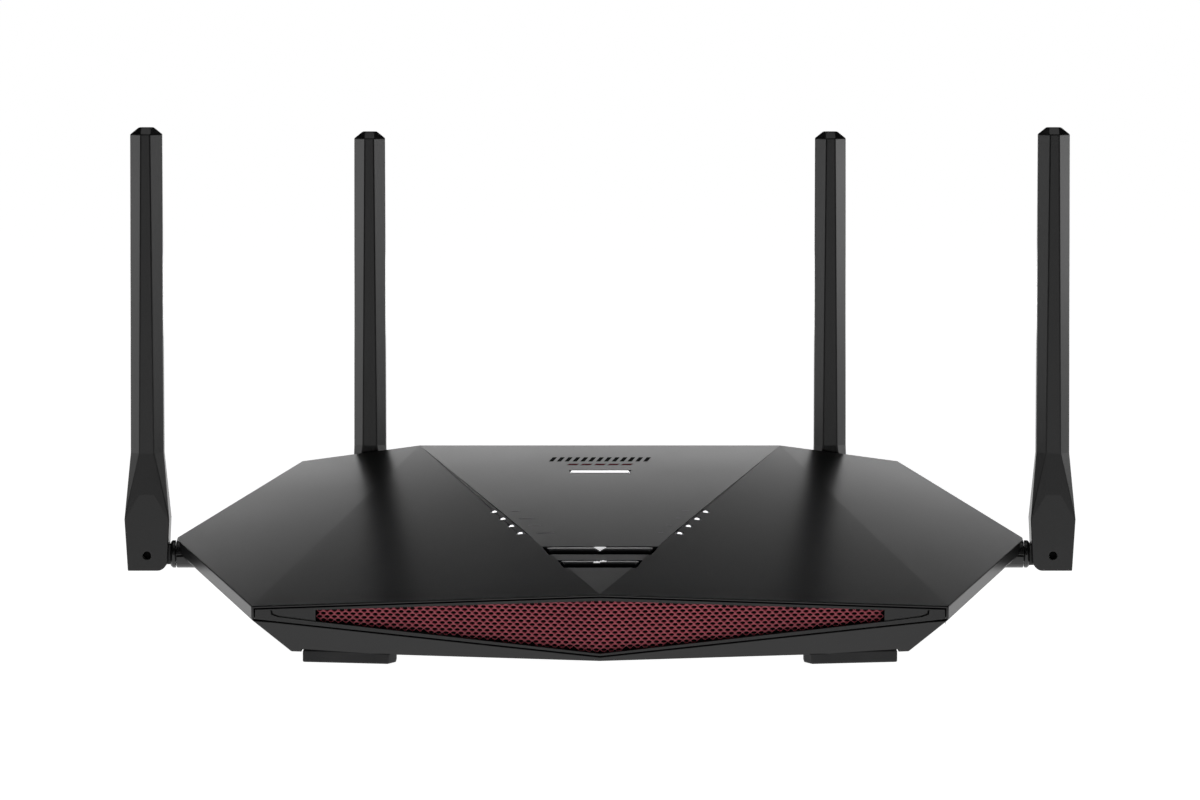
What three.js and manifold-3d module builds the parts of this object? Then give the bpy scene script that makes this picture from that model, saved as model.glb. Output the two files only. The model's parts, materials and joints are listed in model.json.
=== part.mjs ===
// Wireless router with a faceted wedge housing, a red front grille and four folding antennas.
// Millimetres, +Z up, the front faces -Y. The origin is on the table, under the middle of the bounding box.
// The housing is drawn from its nose: x across, y back from the nose, z up from the table.

import * as THREE from 'three';
import { ConvexGeometry } from 'three/addons/geometries/ConvexGeometry.js';
import { mergeVertices } from 'three/addons/utils/BufferGeometryUtils.js';
import Module from 'manifold-3d';

const wasm = await Module();
wasm.setup();

// ---------------------------------------------------------------------------------------------
// Driving dimensions
// ---------------------------------------------------------------------------------------------

// Housing outline
const bodyDepth = 188;
const noseTopZ = 25;
const noseLowerZ = 4.2;
const rearTopZ = 60.9;
const rearRidgeHalf = 64.9;
const shoulderHalf = 107.2;
const shoulderZ = 55.2;
const tipHalf = 148;
const tipY = 0.609 * bodyDepth;
const tipFlat = 0.6;
const frontCornerHalf = 116.8;
const frontCornerY = 0.1394 * bodyDepth;
const frontCornerTopZ = 18.5;
const seamFrontZ = 14;
const seamRise = 33;
const seamSlope = seamRise / bodyDepth;
const floorZ = 3.5;
const noseDrop = 0.7;
const bottomFrontHalf = 103.3;
const bottomFrontY = 0.1287 * bodyDepth;
const bottomRearHalf = 92;

// Shells
const wall = 2.2;
const seamGap = 0.3;
const fitGap = 0.3;
const coverLip = 0.8;

// Front bezel and grille
const bezelThickness = 1.6;
const grilleThickness = 1;
const grilleEndHalf = 95.1;
const grilleEndLowZ = 13.9;
const grilleEndHighZ = 17.7;
const grilleMidLowZ = 5.3;
const grilleMidHighZ = 22.8;
const grilleBorder = 1.2;
const meshPitchX = 6.5;
const meshPitchZ = 2.9;
const meshHoleHalfWidth = 2.4;
const meshHoleHalfHeight = 1.1;
const meshHoleFlatHalf = 1.1;
const meshMargin = 0.4;

// Feet
const footRecess = 0.8;
const footEdgeInset = 0.3;
const frontFootTaper = 2.4;
const frontFootTaperDepth = 6;
const frontFootOuter = 99.5;
const frontFootInner = 70.6;
const frontFootDepth = 13;
const rearFootHalfWidth = 14;
const rearFootDepth = 12;
const rearFootX = 66;
const rearFootSetback = 10;

// Main board
const boardBottomZ = 9;
const boardThickness = 1.6;
const boardHalf = 91;
const boardFrontY = 34;
const boardPegRadius = 1.2;
const pegHoleRadius = 1.6;
const standoffRadius = 3.4;
const standoffInset = 6;

// Case screws
const screwX = 100;
const threadGap = 0.2;
const screwFrontY = 52;
const screwRearSetback = 40;
const screwShaftRadius = 1.3;
const screwHeadRadius = 2.7;
const screwHeadHeight = 1.8;
const screwHeadZ = 5.5;
const screwGrip = 8;
const screwPostRadius = 4.4;
const screwSocketRadius = 3.2;
const postMeetZ = 13;

// Rear sockets and controls
const rearPanelThickness = 2.2;
const socketGap = 1.6;
const rj45 = { width: 15.8, height: 13.4, depth: 21, mouthWidth: 12, mouthHeight: 8.6, mouthDepth: 15, sill: 2.4 };
const usb = { width: 14.6, height: 7.4, depth: 17, mouthWidth: 12.8, mouthHeight: 5.4, mouthDepth: 12, sill: 1 };
const dcJack = { width: 9.4, height: 11, depth: 14, boreRadius: 3.2, boreDepth: 10, pinRadius: 1, pinStart: 5 };
const powerCap = { width: 8.4, height: 8.4, proud: 2.2, travel: 1.8, stem: 3, switchDepth: 12 };
const lightSlider = { width: 3, height: 2.6, proud: 1.6, travel: 2.5, bodyWidth: 10, bodyHeight: 6, bodyDepth: 6 };
const resetPin = { radius: 0.9, recess: 0.8, travel: 0.5, length: 8, bodyWidth: 5.6, bodyHeight: 6, bodyDepth: 4 };
const controlZ = 5.4;
const socketSetback = 0.4;
const powerLift = 0.6;
const powerSwitchSetback = 8;
const powerStemReach = 4;
const lightSwitchSetback = 3;
const sliderFoot = { overhang: 1, thickness: 1.6 };
const resetCollar = { overhang: 0.8, length: 1.4 };

// Top panel buttons. Their slanted ends follow the ridges, and overlap them a little
const buttonTravel = 0.6;
const buttonProud = 0.3;
const buttonGap = 0.4;
const buttonFlange = 0.8;
const flangeThickness = 1.2;
const bevelDepth = 2.2;
const bevelHalfLength = 30;
const plungerRadius = 1.8;
const switchSize = 6;
const switchHeight = 3.5;
const buttons = [
  { name: 'wifi', frontY: 47.5, rearY: 56.8, frontOverlap: 0.9, rearOverlap: 0.2 },
  { name: 'wps', frontY: 31.7, rearY: 40.3, frontOverlap: 1.15, rearOverlap: 0.4 },
];

// Status lights
const lightCount = 4;
const lightFirstY = 74.1;
const lightPitchY = 8.97;
const lightOffset = 1.7;
const lightWidth = 2;
const lightLength = 2.4;
const lightWebHalf = 0.8;
const lightBarHalf = 10.6;
const lightBarY = 152.3;
const lightBarDepth = 3.2;
const lightBarFootHalf = 3;
const lightBarTaper = 20;

// Electronics on the board
const processor = { x: 0, y: 104, width: 18, depth: 18, height: 1.6 };
const heatSink = { width: 44, depth: 50, base: 2, finHeight: 12, finWidth: 1.2, fins: 9 };
const shield = { x: 60, y: 96, width: 40, depth: 44, height: 4.2, wall: 0.6 };
const memory = { x: 0, y: 68, width: 12, depth: 10, height: 1.2 };

// Vents in the floor
const ventRows = 9;
const ventPitch = 6.5;
const ventLength = 26;
const ventWidth = 2.6;
const ventColumns = [-54, -18, 18, 54];
const ventFrontY = 78;

// Antennas. Local x points along the hinge barrel into the housing, y along the hinge pin, z up the blade
const hingeReach = 10;
const sideHingeY = tipY - 2.1;
const sideHingeZ = 28.4;
const rearHingeX = 83;
const rearHingeZ = 25;
const barrelRadius = 4.84;
const barrelStart = 7.9;
const barrelChamfer = 0.7;
const neckRadius = 2.6;
const bossLength = 14;
const tipCornerLength = 10;
const neckHoleGap = 0.3;
const neckTail = 4;
const neckBoreRadius = 1.2;
const grooveDepth = 0.5;
const clipThickness = 0.8;
const clipRadius = 4;
const tongueHalfWidth = 2.2;
const tongueRadius = 3.5;
const pinRadius = 1.2;
const pinHoleRadius = 1.35;
const pinRecess = 1.6;
const bladeHeight = 148.5;
const bladeDrop = 5.4;
const bladeTipHalf = 2.5;
const bladeTipChamfer = 2.4;
const shaftTopHalf = 5.5;
const shaftTopFacet = 1.6;
const shaftFootHalf = 5.75;
const shaftFootFacet = 2.5;
const shaftFootZ = 35.5;
const collarZ = 21;
const collarHalf = 7;
const collarFacet = 2.65;
const baseTopZ = 12.5;
const baseHalf = 7.8;
const baseHalfThickness = 6.2;
const baseHeelHalf = 6.7;
const baseToe = { x: 3.7, sideX: 7.1, sideZ: -2.7 };

// Antenna cables
const cableRadius = 0.9;
const cableSides = 8;
const cableSteps = 16;
const cableGap = 0.5;
const cableLanding = 5.9;
const rearCableX = 78;
const rearCableRun = 32;

// ---------------------------------------------------------------------------------------------
// Materials
// ---------------------------------------------------------------------------------------------

const plastic = (color, roughness) => new THREE.MeshStandardMaterial({ color, roughness, metalness: 0 });
const metal = (color, roughness) => new THREE.MeshStandardMaterial({ color, roughness, metalness: 1 });

const housingBlack = plastic(0x1b1b1c, 0.4);
const bezelBlack = plastic(0x202122, 0.45);
const panelBlack = plastic(0x18191a, 0.55);
const antennaBlack = plastic(0x1a1a1b, 0.45);
const buttonGrey = plastic(0x46484a, 0.4);
const meshRed = metal(0x8e1f33, 0.4);
const rubberGrey = plastic(0x2a2b2c, 0.8);
const lensWhite = plastic(0xf2f4f5, 0.3);
const boardGreen = plastic(0x14452c, 0.5);
const chipBlack = plastic(0x111213, 0.5);
const socketBlack = plastic(0x0d0d0e, 0.5);
const socketYellow = plastic(0xd8b21e, 0.5);
const cableBlack = plastic(0x0b0b0c, 0.6);
const steel = metal(0xb9bcc0, 0.3);
const finAluminium = metal(0xc9ccce, 0.45);

// ---------------------------------------------------------------------------------------------
// Solid modelling helpers
// ---------------------------------------------------------------------------------------------

const at = (x, y, z) => new THREE.Vector3(x, y, z);

// A closed geometry as a solid that can be joined and cut. Slivers at a turned profile's axis are dropped.
function solid(geometry) {
  const bare = (geometry.index ? geometry.toNonIndexed() : geometry).clone();
  bare.deleteAttribute('normal');
  bare.deleteAttribute('uv');
  const merged = mergeVertices(bare, 1e-4);
  const corners = merged.index.array;
  const kept = [];
  for (let start = 0; start < corners.length; start += 3) {
    const [a, b, c] = corners.slice(start, start + 3);
    if (a !== b && b !== c && c !== a) {
      kept.push(a, b, c);
    }
  }
  const vertProperties = new Float32Array(merged.attributes.position.array);
  const triVerts = new Uint32Array(kept);
  return new wasm.Manifold(new wasm.Mesh({ numProp: 3, vertProperties, triVerts }));
}

function geometryOf(body) {
  const mesh = body.getMesh();
  const geometry = new THREE.BufferGeometry();
  geometry.setAttribute('position', new THREE.BufferAttribute(mesh.vertProperties, 3));
  geometry.setIndex(new THREE.BufferAttribute(mesh.triVerts, 1));
  geometry.computeVertexNormals();
  return geometry;
}

// A named sub-part from a solid.
function piece(name, body, material) {
  const mesh = new THREE.Mesh(geometryOf(body), material);
  mesh.name = name;
  return mesh;
}

// A box between two corners.
function block(x0, x1, y0, y1, z0, z1) {
  const geometry = new THREE.BoxGeometry(x1 - x0, y1 - y0, z1 - z0);
  return solid(geometry.translate((x0 + x1) / 2, (y0 + y1) / 2, (z0 + z1) / 2));
}

// A round rod between two points.
function rod(start, end, radius, sides = 20) {
  const length = start.distanceTo(end);
  const geometry = new THREE.CylinderGeometry(radius, radius, length, sides);
  const direction = end.clone().sub(start).normalize();
  geometry.applyQuaternion(new THREE.Quaternion().setFromUnitVectors(at(0, 1, 0), direction));
  const middle = start.clone().add(end).multiplyScalar(0.5);
  return solid(geometry.translate(middle.x, middle.y, middle.z));
}

// An outline in x and y, extruded from one height to another.
function plate(outline, z0, z1) {
  const shape = outline instanceof THREE.Shape ? outline : new THREE.Shape(outline);
  const geometry = new THREE.ExtrudeGeometry(shape, { depth: z1 - z0, bevelEnabled: false, curveSegments: 6 });
  return geometry.translate(0, 0, z0);
}

// An outline in x and z, extruded from one y to another.
function wallPlate(outline, y0, y1) {
  return plate(outline, -y1, -y0).rotateX(Math.PI / 2);
}

const points2 = (...pairs) => pairs.map(([a, b]) => new THREE.Vector2(a, b));

const mirrored = (vector) => at(-vector.x, vector.y, vector.z);

// ---------------------------------------------------------------------------------------------
// The faceted housing: every facet is a plane through named corners
// ---------------------------------------------------------------------------------------------

const seamZ = (y) => seamFrontZ + seamSlope * (y - frontCornerY);

const nose = at(0, 0, noseTopZ);
const noseLower = at(0, 0, noseLowerZ);
const noseBottom = at(0, 0, floorZ - noseDrop);
const rearRidge = at(rearRidgeHalf, bodyDepth, rearTopZ);
const shoulder = at(shoulderHalf, bodyDepth, shoulderZ);
const frontCorner = at(frontCornerHalf, frontCornerY, frontCornerTopZ);
const frontCornerLow = at(frontCornerHalf, frontCornerY, seamFrontZ);
const tipLow = at(tipHalf, tipY, seamZ(tipY));
const shoulderLow = at(shoulderHalf, bodyDepth, seamZ(bodyDepth));
const bottomFront = at(bottomFrontHalf, bottomFrontY, floorZ);
const bottomRear = at(bottomRearHalf, bodyDepth, floorZ);
const bottomRearMiddle = at(0, bodyDepth, floorZ);
const heart = at(0, bodyDepth / 2, (floorZ + noseTopZ) / 2);

const cornerTolerance = 0.01;

// The plane through three corners, facing out of the housing.
function facet(a, b, c) {
  const plane = new THREE.Plane().setFromCoplanarPoints(a, b, c);
  return plane.distanceToPoint(heart) > 0 ? plane.negate() : plane;
}

function facetPair(a, b, c) {
  return [facet(a, b, c), facet(mirrored(a), mirrored(b), mirrored(c))];
}

const above = (corner) => corner.clone().add(at(0, 0, 10));

const housingFacets = {
  top: [
    facet(nose, rearRidge, mirrored(rearRidge)),
    ...facetPair(nose, rearRidge, frontCorner),
    ...facetPair(rearRidge, shoulder, frontCorner),
  ],
  belt: [
    ...facetPair(frontCorner, tipLow, above(frontCorner)),
    ...facetPair(shoulder, tipLow, above(shoulder)),
    ...facetPair(at(tipHalf - tipFlat, 0, 0), at(tipHalf - tipFlat, 1, 0), at(tipHalf - tipFlat, 0, 1)),
  ],
  front: facetPair(nose, frontCorner, noseLower),
  under: [
    ...facetPair(noseLower, frontCornerLow, bottomFront),
    ...facetPair(frontCornerLow, bottomFront, tipLow),
    ...facetPair(tipLow, shoulderLow, bottomRear),
  ],
  bottom: facetPair(noseBottom, bottomFront, bottomRearMiddle),
  rear: [facet(rearRidge, shoulder, bottomRearMiddle)],
};

// Everything on the outer side of a plane that has been moved in by an inset.
function beyond(plane, inset = 0) {
  const size = 900;
  const geometry = new THREE.BoxGeometry(size, size, size);
  geometry.applyQuaternion(new THREE.Quaternion().setFromUnitVectors(at(0, 0, 1), plane.normal));
  const centre = plane.projectPoint(heart, at(0, 0, 0)).addScaledVector(plane.normal, size / 2 - inset);
  return solid(geometry.translate(centre.x, centre.y, centre.z));
}

// The point where three planes meet, or null where they don't.
function meetingPoint(a, b, c) {
  const crossBC = b.normal.clone().cross(c.normal);
  const scale = a.normal.dot(crossBC);
  if (Math.abs(scale) < 1e-4) {
    return null;
  }
  const point = crossBC.multiplyScalar(-a.constant);
  point.addScaledVector(c.normal.clone().cross(a.normal), -b.constant);
  point.addScaledVector(a.normal.clone().cross(b.normal), -c.constant);
  return point.divideScalar(scale);
}

// The corners of the solid that a set of planes encloses. Corners closer than the tolerance are one.
function corners(planes) {
  const found = [];
  for (const [index, a] of planes.entries()) {
    for (const [offset, b] of planes.slice(index + 1).entries()) {
      for (const c of planes.slice(index + offset + 2)) {
        const point = meetingPoint(a, b, c);
        const inside = point && planes.every((plane) => plane.distanceToPoint(point) < cornerTolerance);
        if (inside && !found.some((corner) => corner.distanceTo(point) < 2 * cornerTolerance)) {
          found.push(point);
        }
      }
    }
  }
  return found;
}

// How far a cutting solid stands past the faces that it doesn't shape.
const clearance = 2;

// Above everything in the housing, for cutters and posts that are trimmed later.
const tallest = 90;

// The housing's solid, with each group of facets moved in by its own inset and further planes added.
function housing(inset, groupInsets = {}, further = []) {
  const planes = [...further];
  for (const [group, facets] of Object.entries(housingFacets)) {
    for (const plane of facets) {
      const moved = plane.clone();
      moved.constant += groupInsets[group] ?? inset;
      planes.push(moved);
    }
  }
  return solid(new ConvexGeometry(corners(planes)));
}

// The sloping plane where the two covers meet, facing down.
const seamPlane = new THREE.Plane().setFromCoplanarPoints(
  at(0, 0, seamZ(0)),
  at(0, bodyDepth, seamZ(bodyDepth)),
  at(1, 0, seamZ(0)),
);
const seamDown = seamPlane.normal.z > 0 ? seamPlane.clone().negate() : seamPlane;
const seamUp = seamDown.clone().negate();

const outer = housing(0);
const cavity = housing(wall);

// The lower edge of the bezel runs from the nose to the front corner.
const bezelFloor = facetPair(noseLower, frontCornerLow, frontCornerLow.clone().add(at(0, 10, 0)));

// A band behind the front facets, from one depth to another, kept clear of the covers by a gap.
function frontBand(from, to, gap) {
  const lip = coverLip + gap;
  const sill = bezelFloor.map((plane) => plane.clone());
  for (const plane of sill) {
    plane.constant += gap;
  }
  const whole = housing(-clearance, { top: lip, belt: lip, front: from }, sill);
  return whole.subtract(housing(-2 * clearance, { front: to }));
}

// ---------------------------------------------------------------------------------------------
// Antenna hinges
// ---------------------------------------------------------------------------------------------

const sideHingeX = tipHalf - tipFlat + hingeReach;
const rearHingeY = bodyDepth + hingeReach;
const neckEnd = hingeReach + bossLength + neckTail;
const grooveStart = hingeReach + bossLength + fitGap;

const hinges = [
  { name: 'antenna_side_left', x: -sideHingeX, y: sideHingeY, z: sideHingeZ, turn: 0 },
  { name: 'antenna_side_right', x: sideHingeX, y: sideHingeY, z: sideHingeZ, turn: Math.PI },
  { name: 'antenna_rear_left', x: -rearHingeX, y: rearHingeY, z: rearHingeZ, turn: -Math.PI / 2 },
  { name: 'antenna_rear_right', x: rearHingeX, y: rearHingeY, z: rearHingeZ, turn: -Math.PI / 2 },
];

// A point on a hinge's barrel axis, a distance in from its pin.
function alongBarrel(hinge, distance) {
  const reach = at(distance, 0, 0).applyAxisAngle(at(0, 0, 1), hinge.turn);
  return reach.add(at(hinge.x, hinge.y, hinge.z));
}

// The sleeve on the covers that each barrel turns in, and the hole through it.
function hingeBoss(hinge) {
  return rod(alongBarrel(hinge, hingeReach), alongBarrel(hinge, hingeReach + bossLength), barrelRadius, 24);
}

// The corner behind each tip is solid, so that the sleeve has a firm seat.
function tipCorner(side) {
  const x = side * (tipHalf - tipCornerLength);
  return housing(wall / 2).intersect(block(Math.min(x, side * 300), Math.max(x, side * 300), 0, bodyDepth, 0, 100));
}

// The hole for a barrel's neck, with room for the clip that holds it.
function hingeHole(hinge) {
  const neckHole = rod(alongBarrel(hinge, hingeReach - 5), alongBarrel(hinge, neckEnd), neckRadius + neckHoleGap, 24);
  const clipStart = alongBarrel(hinge, grooveStart);
  const clipEnd = alongBarrel(hinge, grooveStart + clipThickness + 2 * fitGap);
  return neckHole.add(rod(clipStart, clipEnd, clipRadius + fitGap, 24));
}

// The barrel stops short of its sleeve, and a narrower neck runs on through it.
function knuckleSolid() {
  const profile = points2(
    [0, barrelStart],
    [barrelRadius - barrelChamfer, barrelStart],
    [barrelRadius, barrelStart + barrelChamfer],
    [barrelRadius, hingeReach - fitGap],
    [neckRadius, hingeReach - fitGap],
    [neckRadius, grooveStart],
    [neckRadius - grooveDepth, grooveStart],
    [neckRadius - grooveDepth, grooveStart + clipThickness + 2 * fitGap],
    [neckRadius, grooveStart + clipThickness + 2 * fitGap],
    [neckRadius, neckEnd],
    [neckBoreRadius, neckEnd],
    [neckBoreRadius, hingeReach + 2],
    [0, hingeReach + 2],
  );
  const barrel = solid(new THREE.LatheGeometry(profile, 24).rotateZ(-Math.PI / 2));
  const tongueBar = block(0, barrelStart + barrelChamfer, -tongueHalfWidth, tongueHalfWidth, -tongueRadius, tongueRadius);
  const tongueEye = rod(at(0, -tongueHalfWidth, 0), at(0, tongueHalfWidth, 0), tongueRadius, 24);
  const eyeHole = rod(at(0, -10, 0), at(0, 10, 0), pinRadius + fitGap, 16);
  return barrel.add(tongueBar).add(tongueEye).subtract(eyeHole);
}

// A C-shaped ring that snaps into the neck's groove and holds the barrel in its sleeve.
function clipSolid() {
  const start = grooveStart + fitGap;
  const bore = neckRadius - grooveDepth + fitGap / 2;
  const ring = rod(at(start, 0, 0), at(start + clipThickness, 0, 0), clipRadius, 24);
  const hole = rod(at(start - 1, 0, 0), at(start + clipThickness + 1, 0, 0), bore, 24);
  const mouth = block(start - 1, start + clipThickness + 1, -bore * 0.8, bore * 0.8, -clipRadius - 1, 0);
  return ring.subtract(hole).subtract(mouth);
}

// An eight-sided section at a height: four narrow faces and four wide slanted ones.
function octagon(halfX, halfY, facetHalf, z) {
  const corners = [];
  for (const side of [-1, 1]) {
    for (const end of [-1, 1]) {
      corners.push(at(side * halfX, end * facetHalf, z));
      corners.push(at(end * facetHalf, side * halfY, z));
    }
  }
  return corners;
}

function rectangle(halfX, halfY, z) {
  return [at(-halfX, -halfY, z), at(halfX, -halfY, z), at(halfX, halfY, z), at(-halfX, halfY, z)];
}

function bladeSolid() {
  const shaft = new ConvexGeometry([
    ...octagon(bladeTipHalf, bladeTipHalf, shaftTopFacet, bladeHeight),
    ...octagon(shaftTopHalf, shaftTopHalf, shaftTopFacet, bladeHeight - bladeTipChamfer),
    ...octagon(shaftFootHalf, shaftFootHalf, shaftFootFacet, shaftFootZ),
  ]);
  const base = new ConvexGeometry([
    ...octagon(shaftFootHalf, shaftFootHalf, shaftFootFacet, shaftFootZ),
    ...octagon(collarHalf, baseHalfThickness, collarFacet, collarZ),
    ...rectangle(baseHalf, baseHalfThickness, baseTopZ),
    ...rectangle(baseHalf, baseHalfThickness, -bladeDrop),
  ]);
  const outline = new THREE.Shape();
  outline.moveTo(-baseHalf, shaftFootZ + 1);
  outline.lineTo(-baseHalf, baseTopZ);
  outline.lineTo(-baseHeelHalf, -bladeDrop);
  outline.lineTo(baseToe.x, -bladeDrop);
  outline.quadraticCurveTo(baseToe.x + 2, -bladeDrop, baseToe.sideX, baseToe.sideZ);
  outline.lineTo(baseHalf, baseTopZ);
  outline.lineTo(baseHalf, shaftFootZ + 1);
  const profile = solid(wallPlate(outline, -baseHalfThickness - 1, baseHalfThickness + 1));
  const slotHalf = tongueHalfWidth + fitGap;
  const slotReach = tongueRadius + 0.5;
  const slot = block(-slotReach, baseHalf + 5, -slotHalf, slotHalf, -bladeDrop - 5, slotReach);
  const pinHole = rod(at(0, -baseHalfThickness - 1, 0), at(0, baseHalfThickness + 1, 0), pinHoleRadius, 16);
  return solid(shaft).add(solid(base).intersect(profile)).subtract(slot).subtract(pinHole);
}

function pinSolid() {
  const half = baseHalfThickness - pinRecess;
  return rod(at(0, -half, 0), at(0, half, 0), pinRadius, 16);
}

// One antenna: the knuckle turns in the housing, and the blade tilts on the knuckle's pin.
function antenna(hinge) {
  const group = new THREE.Group();
  group.position.set(hinge.x, hinge.y, hinge.z);
  group.rotation.z = hinge.turn;
  group.add(piece(`${hinge.name}_knuckle`, knuckleSolid(), antennaBlack));
  group.add(piece(`${hinge.name}_clip`, clipSolid(), steel));
  group.add(piece(`${hinge.name}_blade`, bladeSolid(), antennaBlack));
  group.add(piece(`${hinge.name}_pin`, pinSolid(), steel));
  return group;
}

// ---------------------------------------------------------------------------------------------
// The middle facet's own frame: local x across, y up the slope from the nose, z out of the facet
// ---------------------------------------------------------------------------------------------

const panelTilt = Math.atan2(rearTopZ - noseTopZ, bodyDepth);
const panelMatrix = new THREE.Matrix4().makeRotationX(panelTilt).setPosition(0, 0, noseTopZ);
const upSlope = (y) => y / Math.cos(panelTilt);

// How far from the middle the ridge between the nose and the rear edge is.
const ridgeX = (y) => (rearRidgeHalf * y) / bodyDepth;

// A button's four-sided outline on the facet, with its edges moved in by an inset.
function buttonOutline(button, inset) {
  const front = upSlope(button.frontY) + inset;
  const rear = upSlope(button.rearY) - inset;
  const frontHalf = ridgeX(button.frontY) + button.frontOverlap - inset;
  const rearHalf = ridgeX(button.rearY) + button.rearOverlap - inset;
  return points2([-frontHalf, front], [frontHalf, front], [rearHalf, rear], [-rearHalf, rear]);
}

function buttonPocket(button) {
  return solid(plate(buttonOutline(button, 0), -wall * 3, 5).applyMatrix4(panelMatrix));
}

// The point on the board's top under a button, and how far below the facet its switch ends.
const boardTopZ = boardBottomZ + boardThickness;
const partsZ = boardTopZ + fitGap;

function buttonFoot(button) {
  const middle = (upSlope(button.frontY) + upSlope(button.rearY)) / 2;
  const facetZ = noseTopZ + middle * Math.sin(panelTilt);
  const switchTopZ = partsZ + switchHeight;
  const reach = (facetZ - switchTopZ) / Math.cos(panelTilt);
  return { middle, reach };
}

function buttonSolid(button) {
  const { middle, reach } = buttonFoot(button);
  const flangeTop = -wall - fitGap;
  const flangeBottom = flangeTop - flangeThickness;
  const cap = solid(plate(buttonOutline(button, buttonGap), flangeBottom, buttonProud));
  const frontEdge = upSlope(button.frontY) + buttonGap;
  const bevelShape = points2([-1, 1], [bevelDepth, 1], [-1, -bevelDepth]);
  const bevelBar = plate(bevelShape, -bevelHalfLength, bevelHalfLength).rotateY(Math.PI / 2).rotateX(Math.PI / 2);
  const bevel = solid(bevelBar.translate(0, frontEdge, buttonProud));
  const flange = solid(plate(buttonOutline(button, -buttonFlange), flangeBottom, flangeTop));
  const plungerEnd = -reach + buttonTravel + fitGap;
  const plunger = rod(at(0, middle, flangeTop), at(0, middle, plungerEnd), plungerRadius, 12);
  return cap.subtract(bevel).add(flange).add(plunger);
}

// The switch that a button's plunger presses.
function buttonSwitch(button) {
  const { middle, reach } = buttonFoot(button);
  const foot = at(0, middle, -reach).applyMatrix4(panelMatrix);
  const half = switchSize / 2;
  return block(-half, half, foot.y - half, foot.y + half, partsZ, partsZ + switchHeight);
}

// ---------------------------------------------------------------------------------------------
// Lights
// ---------------------------------------------------------------------------------------------

// Where each status light comes out, beside the ridge from the nose to the rear edge.
function lightPlaces(side) {
  const places = [];
  for (let index = 0; index < lightCount; index += 1) {
    const y = lightFirstY + index * lightPitchY;
    places.push({ x: side * (ridgeX(y) + lightOffset), y });
  }
  return places;
}

function lightHole(place, gap) {
  const halfX = lightWidth / 2 + gap;
  const halfY = lightLength / 2 + gap;
  return block(place.x - halfX, place.x + halfX, place.y - halfY, place.y + halfY, boardTopZ, tallest);
}

// One light guide carries four fingers up from a web that stands on the board's lights.
function lightGuide(side) {
  const places = lightPlaces(side);
  const first = places[0];
  const last = places[places.length - 1];
  const webShape = points2(
    [first.x - lightWebHalf, first.y - lightLength],
    [first.x + lightWebHalf, first.y - lightLength],
    [last.x + lightWebHalf, last.y + lightLength],
    [last.x - lightWebHalf, last.y + lightLength],
  );
  let guide = solid(plate(webShape, partsZ, tallest)).intersect(housing(wall + fitGap));
  for (const place of places) {
    guide = guide.add(lightHole(place, -0.05).intersect(outer).subtract(block(-200, 200, 0, 300, 0, partsZ)));
  }
  return guide;
}

function lightBarSlot(gap) {
  const halfY = lightBarDepth / 2 + gap;
  const halfX = lightBarHalf + gap;
  return block(-halfX, halfX, lightBarY - halfY, lightBarY + halfY, partsZ, tallest);
}

function lightBar() {
  const slab = points2(
    [-lightBarHalf + fitGap, tallest],
    [-lightBarHalf + fitGap, rearTopZ - lightBarTaper],
    [-lightBarFootHalf, partsZ],
    [lightBarFootHalf, partsZ],
    [lightBarHalf - fitGap, rearTopZ - lightBarTaper],
    [lightBarHalf - fitGap, tallest],
  );
  const halfY = lightBarDepth / 2 - fitGap / 2;
  return solid(wallPlate(slab, lightBarY - halfY, lightBarY + halfY)).intersect(outer);
}

// ---------------------------------------------------------------------------------------------
// Rear sockets and controls, placed side by side along the rear wall
// ---------------------------------------------------------------------------------------------

const rearFaceY = bodyDepth - socketSetback;
const panelInnerY = bodyDepth - rearPanelThickness;

const rearRow = [
  { name: 'reset', width: resetPin.bodyWidth },
  { name: 'lan_jack_1', width: rj45.width },
  { name: 'lan_jack_2', width: rj45.width },
  { name: 'lan_jack_3', width: rj45.width },
  { name: 'lan_jack_4', width: rj45.width },
  { name: 'wan_jack', width: rj45.width },
  { name: 'usb_port', width: usb.width },
  { name: 'light_slider', width: lightSlider.bodyWidth },
  { name: 'dc_jack', width: dcJack.width },
  { name: 'power', width: powerCap.width },
];

// The row is centred, and runs from +x to -x, left to right as seen from behind.
function placeRow() {
  const total = rearRow.reduce((sum, item) => sum + item.width + socketGap, -socketGap);
  const places = {};
  let edge = total / 2;
  for (const item of rearRow) {
    places[item.name] = edge - item.width / 2;
    edge -= item.width + socketGap;
  }
  return places;
}

const rowX = placeRow();
const jackNames = rearRow.map((item) => item.name).filter((name) => name.includes('lan_jack') || name === 'wan_jack');

// A box-shaped socket standing on the board, with a mouth in its rear face.
function socket(size, x) {
  const front = rearFaceY - size.depth;
  const shell = block(x - size.width / 2, x + size.width / 2, front, rearFaceY, partsZ, partsZ + size.height);
  const low = partsZ + size.sill;
  const halfMouth = size.mouthWidth / 2;
  const mouth = block(x - halfMouth, x + halfMouth, rearFaceY - size.mouthDepth, rearFaceY + 5, low, low + size.mouthHeight);
  return shell.subtract(mouth);
}

function socketWindow(size, x) {
  const half = size.width / 2 + fitGap;
  return block(x - half, x + half, panelInnerY - 5, bodyDepth + 5, partsZ - fitGap, partsZ + size.height + fitGap);
}

const dcAxisZ = partsZ + dcJack.height / 2;

function dcJackSolid(x) {
  const half = dcJack.width / 2;
  const shell = block(x - half, x + half, rearFaceY - dcJack.depth, rearFaceY, partsZ, partsZ + dcJack.height);
  const bore = rod(at(x, rearFaceY - dcJack.boreDepth, dcAxisZ), at(x, rearFaceY + 5, dcAxisZ), dcJack.boreRadius, 20);
  const pinFoot = at(x, rearFaceY - dcJack.boreDepth - 1, dcAxisZ);
  const pin = rod(pinFoot, at(x, rearFaceY - dcJack.pinStart, dcAxisZ), dcJack.pinRadius, 12);
  return shell.subtract(bore).add(pin);
}

// The push button of the power switch: a cap in the panel and a stem into the switch.
const powerZ = partsZ + powerCap.height / 2 + powerLift;
const powerSwitchRearY = panelInnerY - powerSwitchSetback;

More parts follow.
